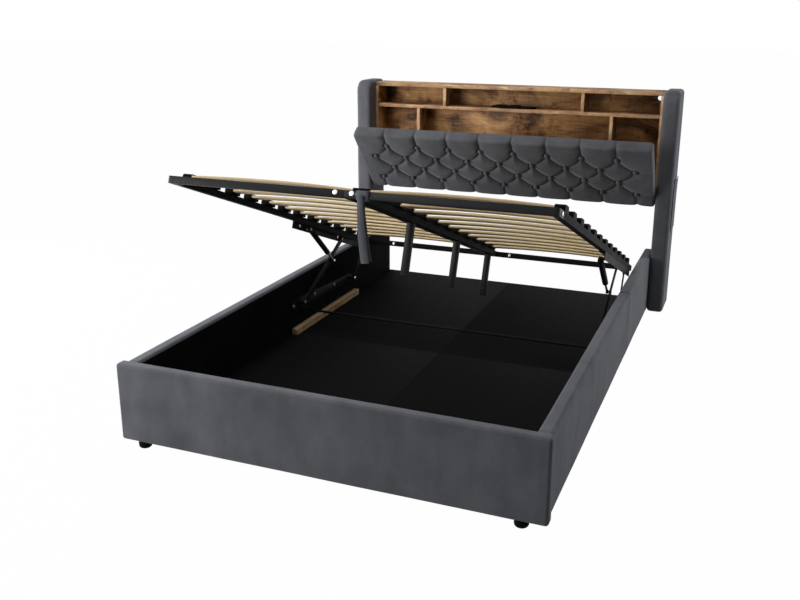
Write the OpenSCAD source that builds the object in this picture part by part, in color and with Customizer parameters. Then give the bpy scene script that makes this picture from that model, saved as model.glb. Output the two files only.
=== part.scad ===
// Upholstered double storage bed with a bookcase headboard, shown with its slatted
// platform raised and its tufted back cushion folded forward.
// Millimetres. Origin: middle of the footprint, on the floor. +Z up, +Y from the
// footboard to the headboard, +X to the right of someone standing at the foot.
// Lengths along the bed are counted from the footboard's front face.

/* [Bed] */
// Overall length, footboard face to headboard back
bed_len = 2346; // [2100:1:2600]
// Width over the footboard
bed_w = 1520; // [1300:1:1900]
// Width of one upholstered headboard wing
wing_w = 80; // [60:1:120]
// Depth of a wing, front to back
wing_d = 200; // [150:1:260]
// How far the wings rise above the bookcase
wing_over = 12; // [0:1:40]
// Gap between the wings' underside and the floor
wing_gap = 16; // [8:1:40]
// Radius of the upholstered edges
edge_r = 12; // [6:1:20]
// Radius of the wings' upright edges
wing_r = 20; // [12:1:30]
// Radius of a wing's top front corner, seen from the side
crown_r = 55; // [35:1:80]

/* [Footboard and rails] */
// Footboard thickness
foot_t = 46; // [30:1:80]
// Footboard top above the floor
foot_top = 308; // [250:1:420]
// Gap between the footboard's underside and the floor
foot_gap = 23; // [10:1:60]
// Radius of the round glides under the bed
glide_r = 23; // [15:1:30]
// Side rail thickness
rail_t = 49; // [30:1:70]
// Side rail top above the floor
rail_top = 302; // [250:1:400]
// Gap between the rails' underside and the floor
rail_gap = 18; // [10:1:50]
// Distance from the footboard's face to the joint in each rail
rail_split = 1500; // [1300:1:1650]
// How far each rail ends short of the headboard's back
rail_short = 40; // [20:1:80]
// Section of the timber cleat that joins the rail halves
cleat_s = 27; // [24:1:40]
// Length of the cleat
cleat_len = 676; // [500:1:800]
// Storage floor board thickness
floor_t = 15; // [9:1:18]
// Storage floor top above the ground
floor_top = 35; // [34:1:60]

/* [Bookcase] */
// Depth of the bookcase, front edge to back panel's outside
book_d = 121; // [100:1:160]
// Thickness of shelves, sides and dividers
board_t = 16; // [12:1:22]
// Thickness of the top board
top_t = 18; // [15:1:25]
// Thickness of the back panel
back_t = 5; // [3:1:9]
// Top of the top board above the floor
book_top = 1091; // [930:1:1280]
// Drop from the bookcase's top to the middle shelf's top face
shelf_drop = 111; // [80:1:180]
// Underside of the bottom board above the floor
book_low = 562; // [480:1:620]
// Middle of an upper divider from the centre line
upper_div_x = 360; // [250:1:450]
// Middle of a lower divider from the centre line
lower_div_x = 505; // [300:1:600]
// Radius of the cable hole in the back panel
cable_r = 12; // [8:1:16]
// Length of the socket strip on the shelf
strip_len = 236; // [150:1:300]

/* [Back cushion] */
// Forward lean of the open cushion, degrees from upright
flap_tilt = 41; // [20:1:60]
// Height of the cushion along its face
flap_h = 414; // [370:1:430]
// Plywood board thickness behind the cushion
flap_board = 12; // [9:1:18]
// Greatest thickness of the padding
pad_t = 46; // [36:1:60]
// Button spaces across the cushion
tuft_cols = 9; // [7:1:9]
// Gap between the cushion's ends and the wings
flap_side = 2.5; // [1:0.5:10]
// Distance between rows of buttons
tuft_z = 82.3; // [70:0.1:90]
// Height of the lowest row of buttons above the hinge
tuft_low = 73.5; // [60:0.5:90]
// Rows of buttons
tuft_rows = 4; // [3:1:4]
// Radius of a covered button
button_r = 11; // [8:0.5:14]

/* [Lifting platform] */
// Gap between each rail and the platform, taken over both sides
plat_gap = 15; // [10:1:40]
// How far the platform sits to the right of the bed's centre line
plat_x = 6; // [0:1:8]
// Length of the platform
plat_len = 1790; // [1600:1:1850]
// Square tube size
tube = 25; // [20:1:30]
// Tube wall
tube_wall = 1.5; // [1:0.1:3]
// Slope of the raised platform in degrees
lift_tilt = 20.2; // [12:0.1:25]
// Raised platform: front lower edge from the footboard's face
front_y = 250; // [200:1:320]
// Raised platform: front lower edge above the floor
front_z = 898; // [700:1:1000]
// Underside of the lowered platform above the floor
closed_z = 240; // [235:1:260]
// Number of slats in each column
slats = 12; // [8:1:14]
// Width of a slat
slat_w = 53; // [40:1:70]
// Thickness of a slat
slat_t = 9; // [7:1:12]
// Rise of a slat's bow at mid length
slat_bow = 9; // [0:1:15]
// Middle of the centre spine from the centre line
spine_x = 15; // [-40:1:40]
// Width of the centre spine
spine_w = 50; // [30:1:60]
// Centre leg width across the bed
leg_w = 28; // [20:1:40]
// Centre leg size along the bed
leg_d = 20; // [15:1:30]

/* [Lift mechanism] */
// Lower pivot of the long front arm: distance from the footboard's face
arm_y = 1212; // [1150:1:1260]
// Lower pivot of the long front arm: height
arm_z = 173; // [150:1:190]
// Upper pivot of the front arm: distance along the platform
arm_s = 1456; // [1400:1:1500]
// Lower pivot of the rear link: distance from the footboard's face
link_y = 1754; // [1700:1:1800]
// Lower pivot of the rear link: height
link_z = 139; // [120:1:160]
// Upper pivot of the gas strut: distance along the platform
strut_s = 1074; // [1040:1:1110]
// Strut stud: distance up the front arm
stud_u = 304; // [285:1:330]
// Strut stud: distance below the arm's centre line
stud_v = 12; // [6:1:16]
// Gas strut cylinder radius
cyl_r = 12.5; // [9:0.5:13]
// Gas strut cylinder length from its eye
cyl_len = 228; // [190:1:235]
// Gas strut rod radius
rod_r = 5; // [4:0.5:6]
// Radius of the pivot pins
pin_r = 5; // [4:0.5:6]

/* [Hidden] */
$fn = 64;
soft_fn = 20;
fit = 0.06;
rest_gap = 0.3;

rail_x = bed_w / 2 - 10;
rail_in = rail_x - rail_t;
rail_end = bed_len - rail_short;
wing_y = bed_len - wing_d;
wing_x = rail_x;
book_y = bed_len - book_d;
wing_top = book_top + wing_over;
shelf_z = book_top - shelf_drop;
book_in = rail_x - board_t;
cleat_mid = rail_split - 22;
cleat_y = cleat_mid - cleat_len / 2;
cleat_bolt_at = [for (f = [-0.405, -0.09, 0.09, 0.405]) f * cleat_len];
cleat_bolt_r = 6;
cleat_sink = 8;

// The cushion's hinge line, just in front of the bookcase's bottom board.
hinge_y = book_y - 5;
hinge_z = book_low + board_t + 2;
knuckle_r = 4;
hinge_len = 72;
flap_w = 2 * (wing_x - flap_side);
tuft_x = flap_w / tuft_cols;
hinge_at = [-flap_w / 3, 0, flap_w / 3];
pad_back = 8;
flap_low = -11;
flap_top = flap_low + flap_h;
board_low = 6;
wrap = 6;

// Pivot height below the platform tubes' underside, and the cross positions
// of the mechanism's layers, counted from the centre line.
eye_h = -18;
plat_w = 2 * (rail_in - plat_gap);
flange_t = 3;
flange_d = 32;
bracket_lead = 124;
bolt_h = 3;
layer_arm = plat_w / 2 - plat_x - flange_t - bolt_h - 1.5;
bar_t = 5;
layer_strut = layer_arm - bar_t - 0.5 - cyl_r;
base_t = 4;
arm_hw = 12.5;
eye_r = 9;

tie_y = arm_y + 50;
tie_z = arm_z - 53;
tie_r = 5.5;
nose = [arm_y - 58, arm_z - 8];
leg_len = closed_z - floor_top - 2;
leg_at = [for (f = [0.3106, 0.6369, 0.9229]) f * plat_len];
first_slat = 117;
slat_step = (plat_len - 2 * first_slat) / (slats - 1);
slat_low = tube + 8;
holder_in = 26;

// Where a point of the raised platform lies in the bed: [along, up].
function raised(s, h) = [
  front_y + s * cos(lift_tilt) + h * sin(lift_tilt),
  front_z - s * sin(lift_tilt) + h * cos(lift_tilt)
];
// Outer face of the platform on one side, from the bed's centre line.
function flange(side) = plat_w / 2 + side * plat_x;
function dist(a, b) = norm(a - b);
function bearing(a, b) = atan2(b[1] - a[1], b[0] - a[0]);

arm_foot = [arm_y, arm_z];
arm_head = raised(arm_s, eye_h);
arm_len = dist(arm_foot, arm_head);
arm_ang = bearing(arm_foot, arm_head);

// Lowered platform: the front arm's head drops to the closed height, which
// gives the closed place of the platform's front edge.
closed_head_z = closed_z + eye_h;
closed_y = arm_y + sqrt(pow(arm_len, 2) - pow(closed_head_z - arm_z, 2)) - arm_s;

// The rear link's upper pivot is the point of the platform that is equally
// far from the link's foot when the platform is up and when it is down.
link_foot = [link_y, link_z];
open_off = raised(0, eye_h) - link_foot;
shut_off = [closed_y, closed_head_z] - link_foot;
along = [cos(lift_tilt), -sin(lift_tilt)];
link_s = (shut_off * shut_off - open_off * open_off) / (2 * (open_off * along - shut_off[0]));
link_head = raised(link_s, eye_h);
link_len = dist(link_foot, link_head);
link_ang = bearing(link_foot, link_head);

strut_top = raised(strut_s, eye_h);
stud = arm_foot
  + stud_u * [cos(arm_ang), sin(arm_ang)]
  + stud_v * [sin(arm_ang), -cos(arm_ang)];
strut_len = dist(strut_top, stud);
strut_ang = bearing(strut_top, stud);

fabric = [0.27, 0.28, 0.3];
board_col = [0.45, 0.3, 0.17];
steel = [0.07, 0.07, 0.08];
zinc = [0.7, 0.7, 0.72];
pine = [0.78, 0.63, 0.42];
black = [0.04, 0.04, 0.045];

// Places a piece that is drawn from the footboard's front face.
module in_bed() {
  translate([0, -bed_len / 2, 0]) children();
}

// Local +Y runs down the raised platform from its front edge, +Z is its upper side.
module on_platform() {
  in_bed() translate([0, front_y, front_z]) rotate([-lift_tilt, 0, 0]) children();
}

// The same, from the platform's own middle; side is -1 for left and 1 for right.
module on_frame(side = 1) {
  on_platform() translate([plat_x, 0, 0]) on_side(side) children();
}

// Local +Z runs up the open cushion from its hinge, -Y is its tufted face.
module on_flap() {
  in_bed() translate([0, hinge_y, hinge_z]) rotate([flap_tilt, 0, 0]) children();
}

// side is -1 for the left piece and 1 for the right one: +X then points outwards.
module on_side(side) {
  if (side < 0) mirror([1, 0, 0]) children();
  else children();
}

// A bar or disc lying across the bed between two distances from the centre line.
module cross_pin(x0, x1, at, r) {
  translate([x0, at[0], at[1]]) rotate([0, 90, 0]) cylinder(h = x1 - x0, r = r);
}

// A flat plate in the Y-Z plane, from an outline drawn as [along, up].
module cross_plate(x0, x1) {
  translate([x0, 0, 0]) rotate([90, 0, 90]) linear_extrude(x1 - x0) children();
}

module block(x0, x1, y0, y1, z0, z1) {
  translate([x0, y0, z0]) cube([x1 - x0, y1 - y0, z1 - z0]);
}

// Upholstered block with every edge rounded.
module padded_block(x0, x1, y0, y1, z0, z1, r) {
  hull() {
    block(x0, x1, y0 + r, y1 - r, z0 + r, z1 - r);
    block(x0 + r, x1 - r, y0, y1, z0 + r, z1 - r);
    block(x0 + r, x1 - r, y0 + r, y1 - r, z0, z1);
    for (x = [x0 + r, x1 - r], y = [y0 + r, y1 - r], z = [z0 + r, z1 - r])
      translate([x, y, z]) sphere(r, $fn = soft_fn);
  }
}

module footboard() {
  color(fabric)
    in_bed() padded_block(-bed_w / 2, bed_w / 2, 0, foot_t, foot_gap, foot_top, edge_r);
}

// Round glide with a rounded lower edge.
module glide(h, r) {
  soft = h / 2;
  rotate_extrude() {
    translate([0, soft]) square([r, h - soft]);
    square([r - soft, h]);
    translate([r - soft, soft]) intersection() {
      circle(soft);
      translate([0, -soft]) square(soft);
    }
  }
}

module front_glides() {
  glide_x = bed_w / 2 - 85;
  color(black)
    in_bed() for (x = [-glide_x, glide_x]) translate([x, foot_t / 2, 0]) glide(foot_gap, glide_r);
}

module rear_glides() {
  color(black)
    in_bed() for (x = [-1, 1])
      translate([x * (wing_x + wing_w / 2), wing_y + wing_d / 2, 0]) glide(wing_gap, glide_r);
}

// One half of a side rail: padded top corners, square ends.
module rail(side, y0, y1) {
  low_r = 4;
  color(fabric)
    in_bed() on_side(side)
      translate([0, y1, 0]) rotate([90, 0, 0]) linear_extrude(y1 - y0) hull() {
        for (x = [rail_in + edge_r, rail_x - edge_r])
          translate([x, rail_top - edge_r]) circle(edge_r, $fn = 32);
        for (x = [rail_in + low_r, rail_x - low_r])
          translate([x, rail_gap + low_r]) circle(low_r, $fn = 16);
      }
}

module left_rail_front() { rail(-1, foot_t, rail_split); }
module left_rail_rear() { rail(-1, rail_split, rail_end); }
module right_rail_front() { rail(1, foot_t, rail_split); }
module right_rail_rear() { rail(1, rail_split, rail_end); }

// Timber cleat across the rail joint, with two counterbores in each half.
module cleat(side) {
  color(pine)
    in_bed() on_side(side) difference() {
      block(rail_in - cleat_s, rail_in, cleat_y, cleat_y + cleat_len, floor_top, floor_top + cleat_s);
      for (off = cleat_bolt_at)
        cross_pin(rail_in - cleat_s - 1, rail_in - cleat_s + cleat_sink,
          [cleat_mid + off, floor_top + cleat_s / 2], cleat_bolt_r + rest_gap);
    }
}

// Dark bolt heads at the bottom of the cleats' counterbores.
module cleat_bolts() {
  head_h = 5;
  key_r = 3;
  color(steel)
    in_bed() for (side = [-1, 1], off = cleat_bolt_at) {
      x1 = rail_in - cleat_s + cleat_sink;
      at = [cleat_mid + off, floor_top + cleat_s / 2];
      on_side(side) difference() {
        cross_pin(x1 - head_h, x1, at, cleat_bolt_r);
        cross_pin(x1 - head_h - 1, x1 - 2, at, key_r, $fn = 6);
      }
    }
}

module left_cleat() { cleat(-1); }
module right_cleat() { cleat(1); }

// Storage floor: four boards that meet on the centre line and half way along.
module floor_board(side, rear) {
  mid = (foot_t + rail_end) / 2;
  color(black)
    in_bed() on_side(side)
      block(0, rail_in, rear ? mid : foot_t, rear ? rail_end : mid, floor_top - floor_t, floor_top);
}

module floor_board_front_left() { floor_board(-1, false); }
module floor_board_front_right() { floor_board(1, false); }
module floor_board_rear_left() { floor_board(-1, true); }
module floor_board_rear_right() { floor_board(1, true); }

// Upholstered wing: round upright edges and a large round top front corner.
module wing(side) {
  x0 = wing_x;
  x1 = wing_x + wing_w;
  r = wing_r;
  bend = crown_r - r;
  color(fabric)
    in_bed() on_side(side) hull() {
      block(x0, x1, wing_y + r, bed_len - r, wing_gap + r, wing_top - crown_r);
      block(x0 + r, x1 - r, wing_y, bed_len, wing_gap + r, wing_top - crown_r);
      block(x0 + r, x1 - r, wing_y + crown_r, bed_len - r, wing_gap + r, wing_top);
      block(x0, x1, wing_y + crown_r, bed_len - r, wing_gap + r, wing_top - r);
      block(x0 + r, x1 - r, wing_y + r, bed_len - r, wing_gap, wing_gap + r);
      for (x = [x0 + r, x1 - r]) {
        translate([x, wing_y + r, wing_gap + r]) sphere(r, $fn = soft_fn);
        for (z = [wing_gap + r, wing_top - r]) translate([x, bed_len - r, z]) sphere(r, $fn = soft_fn);
        for (a = [0:18:90])
          translate([x, wing_y + crown_r - bend * cos(a), wing_top - crown_r + bend * sin(a)])
            sphere(r, $fn = soft_fn);
      }
    }
}

module left_wing() { wing(-1); }
module right_wing() { wing(1); }

// Fabric pocket on a wing's outer face: a front sheet stitched down at three
// edges, standing off at its open mouth.
module pocket(side) {
  cloth = 2;
  depth = 6;
  pocket_w = 0.71 * wing_d;
  pocket_h = 254;
  low = 0.387 * wing_top;
  x0 = wing_x + wing_w;
  y1 = bed_len - wing_r - 2;
  y0 = y1 - pocket_w;
  seam = 5;
  color(fabric)
    in_bed() on_side(side) difference() {
      block(x0, x0 + depth + cloth, y0, y1, low, low + pocket_h);
      block(x0 - 1, x0 + depth, y0 + seam, y1 - seam, low + seam, low + pocket_h + 1);
    }
}

module left_pocket() { pocket(-1); }
module right_pocket() { pocket(1); }

module top_board() {
  color(board_col) in_bed() block(-rail_x, rail_x, book_y, bed_len, book_top - top_t, book_top);
}

module middle_shelf() {
  color(board_col)
    in_bed() block(-book_in, book_in, book_y, bed_len - back_t, shelf_z - board_t, shelf_z);
}

module bottom_board() {
  color(board_col)
    in_bed() block(-book_in, book_in, book_y, bed_len - back_t, book_low, book_low + board_t);
}

module side_board(side) {
  color(board_col)
    in_bed() on_side(side)
      block(book_in, rail_x, book_y, bed_len - back_t, book_low, book_top - top_t);
}

module left_side_board() { side_board(-1); }
module right_side_board() { side_board(1); }

// Thin back panel with a round cable hole near its upper right corner.
module back_panel() {
  hole_x = book_in - 17;
  hole_z = book_top - top_t - 21;
  color(board_col)
    in_bed() difference() {
      block(-rail_x, rail_x, bed_len - back_t, bed_len, book_low, book_top - top_t);
      translate([hole_x, bed_len + 1, hole_z]) rotate([90, 0, 0]) cylinder(h = back_t + 2, r = cable_r);
    }
}

module divider(x, z0, z1) {
  in_bed() block(x - board_t / 2, x + board_t / 2, book_y, bed_len - back_t, z0, z1);
}

module upper_dividers() {
  color(board_col) for (side = [-1, 1]) divider(side * upper_div_x, shelf_z, book_top - top_t);
}

module lower_dividers() {
  color(board_col)
    for (side = [-1, 1]) divider(side * lower_div_x, book_low + board_t, shelf_z - board_t);
}

// Low socket strip lying on the middle shelf, with two raised socket faces.
module socket_strip() {
  strip_d = 50;
  strip_h = 9;
  face_w = 56;
  face_h = 5;
  socket_r = 17;
  strip_y = book_y + 24;
  color(black)
    in_bed() difference() {
      union() {
        translate([0, strip_y + strip_d / 2, shelf_z]) linear_extrude(strip_h) hull()
          for (x = [-1, 1])
            translate([x * (strip_len - strip_d) / 2, 0]) circle(strip_d / 2);
        for (x = [-1, 1])
          translate([x * 36 - 30 - face_w / 2, strip_y + 4, shelf_z + strip_h])
            cube([face_w, strip_d - 8, face_h]);
      }
      for (x = [-1, 1])
        translate([x * 36 - 30, strip_y + strip_d / 2, shelf_z + strip_h])
          cylinder(h = face_h + 1, r = socket_r);
    }
}

// Slanted base plate on a rail's inner face, with the two lower pivot pins of
// the mechanism, their spacers and heads, and a lug for the tie bar.
module base_plate(side) {
  plate_hw = 20;
  collar_r = 8;
  arm_face = layer_arm;
  color(steel)
    in_bed() on_side(side) {
      cross_plate(rail_in - base_t, rail_in) {
        hull() {
          translate(nose) circle(plate_hw - 3);
          translate(arm_foot) circle(plate_hw);
          translate(link_foot) circle(plate_hw);
        }
        hull() {
          translate(arm_foot) circle(plate_hw);
          translate([tie_y, tie_z]) circle(plate_hw - 4);
        }
      }
      for (foot = [arm_foot, link_foot]) {
        cross_pin(arm_face + 0.5, rail_in - base_t, foot, collar_r);
        cross_pin(arm_face - bar_t - bolt_h, rail_in - base_t, foot, pin_r);
        cross_pin(arm_face - bar_t - bolt_h, arm_face - bar_t - rest_gap, foot, collar_r);
      }
    }
}

module left_base_plate() { base_plate(-1); }
module right_base_plate() { base_plate(1); }

// Slim bar across the storage bay that ties the two base plates together.
module tie_bar() {
  end = rail_in - base_t;
  color(steel) in_bed() cross_pin(-end, end, [tie_y, tie_z], tie_r);
}

// Bolt heads that hold each base plate to the two rail halves.
module base_bolts() {
  head_r = 9;
  run = link_foot - arm_foot;
  color(zinc)
    in_bed() for (side = [-1, 1], at = [nose, arm_foot + 0.28 * run, arm_foot + 0.665 * run])
      on_side(side) cross_pin(rail_in - base_t - bolt_h, rail_in - base_t, at, head_r);
}

// Fixed hinge leaves on the bottom board's front edge, with the outer knuckles
// and the pins.
module hinge_fixed_leaves() {
  third = hinge_len / 3;
  leaf_t = 2;
  leaf_low = book_low + 2 - hinge_z;
  color(zinc)
    in_bed() translate([0, hinge_y, hinge_z]) for (x = hinge_at) translate([x, 0, 0]) {
      difference() {
        block(-hinge_len / 2, hinge_len / 2, 5 - leaf_t, 5, leaf_low, 1);
        block(-third / 2 - 0.5, third / 2 + 0.5, 0, 6, -knuckle_r - 0.5, 2);
      }
      for (s = [-1, 1])
        translate([s * third, 0, 0]) rotate([0, 90, 0])
          cylinder(h = third, r = knuckle_r, center = true);
      rotate([0, 90, 0]) cylinder(h = hinge_len, r = knuckle_r / 2, center = true);
    }
}

// Moving leaves under the cushion's board, with the middle knuckles.
module hinge_moving_leaves() {
  knuckle_len = hinge_len / 3 - 1;
  leaf_t = 2;
  color(zinc)
    on_flap() for (x = hinge_at) translate([x, 0, 0]) difference() {
      union() {
        rotate([0, 90, 0]) cylinder(h = knuckle_len, r = knuckle_r, center = true);
        block(-knuckle_len / 2, knuckle_len / 2, -1.5, 1.5, 0, board_low);
        block(-hinge_len / 2, hinge_len / 2, -pad_back + 1, 3, board_low - leaf_t + 0.5, board_low);
      }
      rotate([0, 90, 0]) cylinder(h = hinge_len, r = knuckle_r / 2 + fit, center = true);
    }
}

module flap_panel() {
  color(board_col)
    on_flap() block(-flap_w / 2 + wrap, flap_w / 2 - wrap,
      -pad_back, flap_board - pad_back, board_low, flap_top - wrap);
}

// Buttons stand in staggered rows.
function row_count(row) = tuft_cols - row % 2;
function button_x(row, i) = (i - (row_count(row) - 1) / 2) * tuft_x;
function row_u(row) = tuft_low + row * tuft_z;

// Creases as [end, end, depth]. They join neighbouring buttons in a diamond net;
// seams run from the outer rows over the top and bottom edges, and a pleat runs
// from each end button of the fuller rows to the cushion's end.
last_row = tuft_rows - 1;
creases = concat(
  [
    for (row = [0:last_row - 1], i = [0:row_count(row) - 1], j = [0:row_count(row + 1) - 1])
      let (x0 = button_x(row, i), x1 = button_x(row + 1, j))
      if (abs(x1 - x0) < 0.6 * tuft_x) [[x0, row_u(row)], [x1, row_u(row + 1)], 0.45 * pad_t]
  ],
  [
    for (row = [0, last_row], i = [0:row_count(row) - 1])
      [[button_x(row, i), row_u(row)], [button_x(row, i), row == 0 ? flap_low : flap_top], 0.28 * pad_t]
  ],
  [
    for (row = [0:2:last_row], side = [-1, 1])
      [[side * button_x(row, row_count(row) - 1), row_u(row)], [side * flap_w / 2, row_u(row)], 0.2 * pad_t]
  ]
);
puff = tuft_x / 3;
function swell(d) = sqrt(1 - pow(1 - min(1, d / puff), 2));
function crease_depth(p, c) =
  let (v = c[1] - c[0], t = max(0, min(1, (p - c[0]) * v / (v * v))))
  c[2] * (0.75 + 0.25 * abs(2 * t - 1)) * (1 - swell(norm(p - c[0] - t * v)));
edge_soft = 0.27 * pad_t;
corner_soft = 20;
function rim(e) = sqrt(1 - pow(1 - max(0, min(1, e / edge_soft)), 2));

// The padding's thickness over the board at a place on the cushion's face.
function pad_height(x, u) =
  let (edge = min(flap_w / 2 - abs(x), u - flap_low, flap_top - u))
  pad_t - max([for (c = creases) crease_depth([x, u], c)]) - edge_soft * (1 - rim(edge));

// The cushion's ends draw in towards its rounded top corners.
function draw_in(x, u) =
  let (
    up = max(0, u - flap_top + corner_soft),
    pull = corner_soft - sqrt(corner_soft * corner_soft - up * up),
    share = max(0, 1 - (flap_w / 2 - abs(x)) / (3 * corner_soft))
  )
  x - sign(x) * share * pull;

// Tufted cushion: a closed solid with its crown, creases and rounded rim. The
// grid's diagonals follow the creases.
module flap_cushion() {
  cols = 6 * tuft_cols;
  rise = tuft_z / 3;
  inner_u = [
    for (i = [-4:20])
      let (u = tuft_low + i * rise)
      if (u > flap_low + 14 && u < flap_top - 22) u
  ];
  us = concat([flap_low, flap_low + 4], inner_u, [flap_top - 13, flap_top - 4, flap_top]);
  inner_x = [for (i = [1:cols - 1]) flap_w * (i / cols - 0.5)];
  edge_x = flap_w / 2;
  xs = concat([-edge_x, -edge_x + 4], inner_x, [edge_x - 4, edge_x]);
  nx = len(xs);
  nu = len(us);
  face = [for (u = us, x = xs) [draw_in(x, u), -pad_back - pad_height(x, u), u]];
  ring = concat(
    [for (i = [0:nx - 1]) i],
    [for (j = [1:nu - 1]) j * nx + nx - 1],
    [for (i = [nx - 2:-1:0]) (nu - 1) * nx + i],
    [for (j = [nu - 2:-1:1]) j * nx]
  );
  back = [for (i = ring) [face[i][0], -pad_back, face[i][2]]];
  n = len(face);
  m = len(ring);
  middle = [0, -pad_back, (flap_low + flap_top) / 2];
  front_faces = [
    for (j = [0:nu - 2], i = [0:nx - 2])
      let (
        p = j * nx + i,
        x = (xs[i] + xs[i + 1]) / (2 * tuft_x),
        k = ((us[j] + us[j + 1]) / 2 - tuft_low) / (2 * tuft_z)
      )
      each abs(sin(180 * (x + k))) < abs(sin(180 * (x - k)))
        ? [[p, p + nx, p + 1], [p + 1, p + nx, p + nx + 1]]
        : [[p, p + nx, p + nx + 1], [p, p + nx + 1, p + 1]]
  ];
  side_faces = [
    for (i = [0:m - 1])
      let (k = (i + 1) % m)
      each [[ring[i], ring[k], n + k], [ring[i], n + k, n + i]]
  ];
  color(fabric)
    on_flap() polyhedron(
      points = concat(face, back, [middle]),
      faces = concat(front_faces, side_faces, [for (i = [0:m - 1]) [n + i, n + (i + 1) % m, n + m]]),
      convexity = 6
    );
}

// Covered buttons. Each has a conical back that sits in its dimple and a low
// domed face.
module cushion_buttons() {
  seat = button_r * 0.8;
  dome = 2.5;
  color(fabric)
    on_flap() for (row = [0:last_row], i = [0:row_count(row) - 1]) {
      x = button_x(row, i);
      u = row_u(row);
      translate([x, -pad_back - pad_height(x, u) - rest_gap, u]) rotate([90, 0, 0]) {
        cylinder(h = seat, r1 = 0, r2 = button_r);
        translate([0, 0, seat]) cylinder(h = dome, r1 = button_r, r2 = button_r - 3);
      }
    }
}

// Bent front tube of the platform, one half: it turns the corner with a round
// bend and runs a short way back.
module front_bar(side) {
  bend = 15;
  back_len = 72;
  inner = tube - tube_wall;
  end = plat_w / 2;
  joint = side < 0 ? 10 : -10;
  color(steel)
    on_frame(side) difference() {
      linear_extrude(tube) bar_outline(end, joint, bend, back_len, 0, tube);
      translate([0, 0, tube_wall]) linear_extrude(tube - 2 * tube_wall)
        bar_outline(end, joint - 1, bend, back_len + 1, tube_wall, inner);
    }
}

// Outline of the bent bar between two insets from its outer edge.
module bar_outline(end, joint, bend, back_len, inset, depth) {
  outer_r = bend - inset;
  inner_r = max(0, bend - depth);
  turn = max(bend, depth);
  translate([joint, inset]) square([end - turn - joint, depth - inset]);
  translate([end - depth, turn]) square([depth - inset, back_len - turn]);
  intersection() {
    hull() {
      translate([end - bend, bend]) circle(outer_r);
      translate([end - turn, turn]) circle(turn - inset);
      translate([end - turn, inset]) square([0.01, depth]);
      translate([end - depth, turn]) square([depth - inset, 0.01]);
    }
    translate([end - turn, 0]) square(turn);
  }
}

module front_bar_left() { front_bar(-1); }
module front_bar_right() { front_bar(1); }

module tube_along(x0, x1, y0, y1, h) {
  difference() {
    block(x0, x1, y0, y1, 0, h);
    block(x0 + tube_wall, x1 - tube_wall, y0 - 1, y1 + 1, tube_wall, h - tube_wall);
  }
}

module side_bar(side) {
  color(steel)
    on_frame(side) tube_along(plat_w / 2 - tube, plat_w / 2, 72, plat_len, tube);
}

module left_side_bar() { side_bar(-1); }
module right_side_bar() { side_bar(1); }

module rear_bar() {
  end = plat_w / 2 - tube;
  color(steel)
    on_frame() difference() {
      block(-end, end, plat_len - tube, plat_len, 0, tube);
      block(-end - 1, end + 1, plat_len - tube + tube_wall, plat_len - tube_wall,
        tube_wall, tube - tube_wall);
    }
}

module spine() {
  color(steel)
    on_platform()
      tube_along(spine_x - spine_w / 2, spine_x + spine_w / 2, tube, plat_len - tube, tube);
}

// Three legs under the spine that stand on the storage floor when the platform is down.
module centre_legs() {
  leg_x = spine_x + 7;
  color(steel)
    on_platform() for (s = leg_at) difference() {
      block(leg_x - leg_w / 2, leg_x + leg_w / 2, s, s + leg_d, -leg_len, 0);
      block(leg_x - leg_w / 2 + tube_wall, leg_x + leg_w / 2 - tube_wall,
        s + tube_wall, s + leg_d - tube_wall, -leg_len - 1, -tube_wall);
    }
}

// Side view of a bowed slat between two distances from the centre line.
function bow(x, x0, x1) = slat_low + slat_bow * (1 - pow((2 * x - x0 - x1) / (x1 - x0), 2));
module slat_column(x0, x1) {
  steps = 8;
  xs = [for (i = [0:steps]) x0 + (x1 - x0) * i / steps];
  outline = concat(
    [for (x = xs) [x, bow(x, x0, x1)]],
    [for (i = [steps:-1:0]) [xs[i], bow(xs[i], x0, x1) + slat_t]]
  );
  color(pine)
    on_platform() for (i = [0:slats - 1])
      translate([0, first_slat + i * slat_step + slat_w / 2, 0]) rotate([90, 0, 0])
        linear_extrude(slat_w) polygon(outline);
}

slat_out = plat_w / 2 - 8;
module left_slats() { slat_column(plat_x - slat_out, spine_x - 4); }
module right_slats() { slat_column(spine_x + 4, plat_x + slat_out); }

// Outline of a holder seen along its slat: square feet and a round top.
module cap_outline(wide, high) {
  turn = 10;
  hull() {
    translate([-wide / 2, tube]) square([wide, 2]);
    for (s = [-1, 1]) translate([s * (wide / 2 - turn), high - turn]) circle(turn);
  }
}

// Black plastic end caps that stand on the side tubes and grip the slats.
module slat_holders(side) {
  cap = 3;
  wide = slat_w + 2 * cap;
  out = plat_w / 2 - 2;
  grip = 0.2;
  color(black)
    on_frame(side) for (i = [0:slats - 1])
      translate([0, first_slat + i * slat_step, 0]) difference() {
        cross_plate(out - holder_in - 8, out) cap_outline(wide, slat_low + slat_t + cap + 4);
        block(out - holder_in - 9, slat_out + grip, -slat_w / 2 - grip, slat_w / 2 + grip,
          slat_low - grip, slat_low + slat_t + 2 + grip);
      }
}

module left_slat_holders() { slat_holders(-1); }
module right_slat_holders() { slat_holders(1); }

// Double holders on the spine, each gripping the ends of two slats.
module centre_slat_holders() {
  cap = 3;
  wide = slat_w + 2 * cap;
  reach = 30;
  grip = 0.2;
  color(black)
    on_platform() for (i = [0:slats - 1])
      translate([spine_x, first_slat + i * slat_step, 0]) difference() {
        block(-reach, reach, -wide / 2, wide / 2, tube, slat_low + slat_t + cap + 2);
        for (side = [-1, 1])
          on_side(side)
            block(4 - grip, reach + 1, -slat_w / 2 - grip, slat_w / 2 + grip,
              slat_low - grip, slat_low + slat_t + 2 + grip);
      }
}

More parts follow.
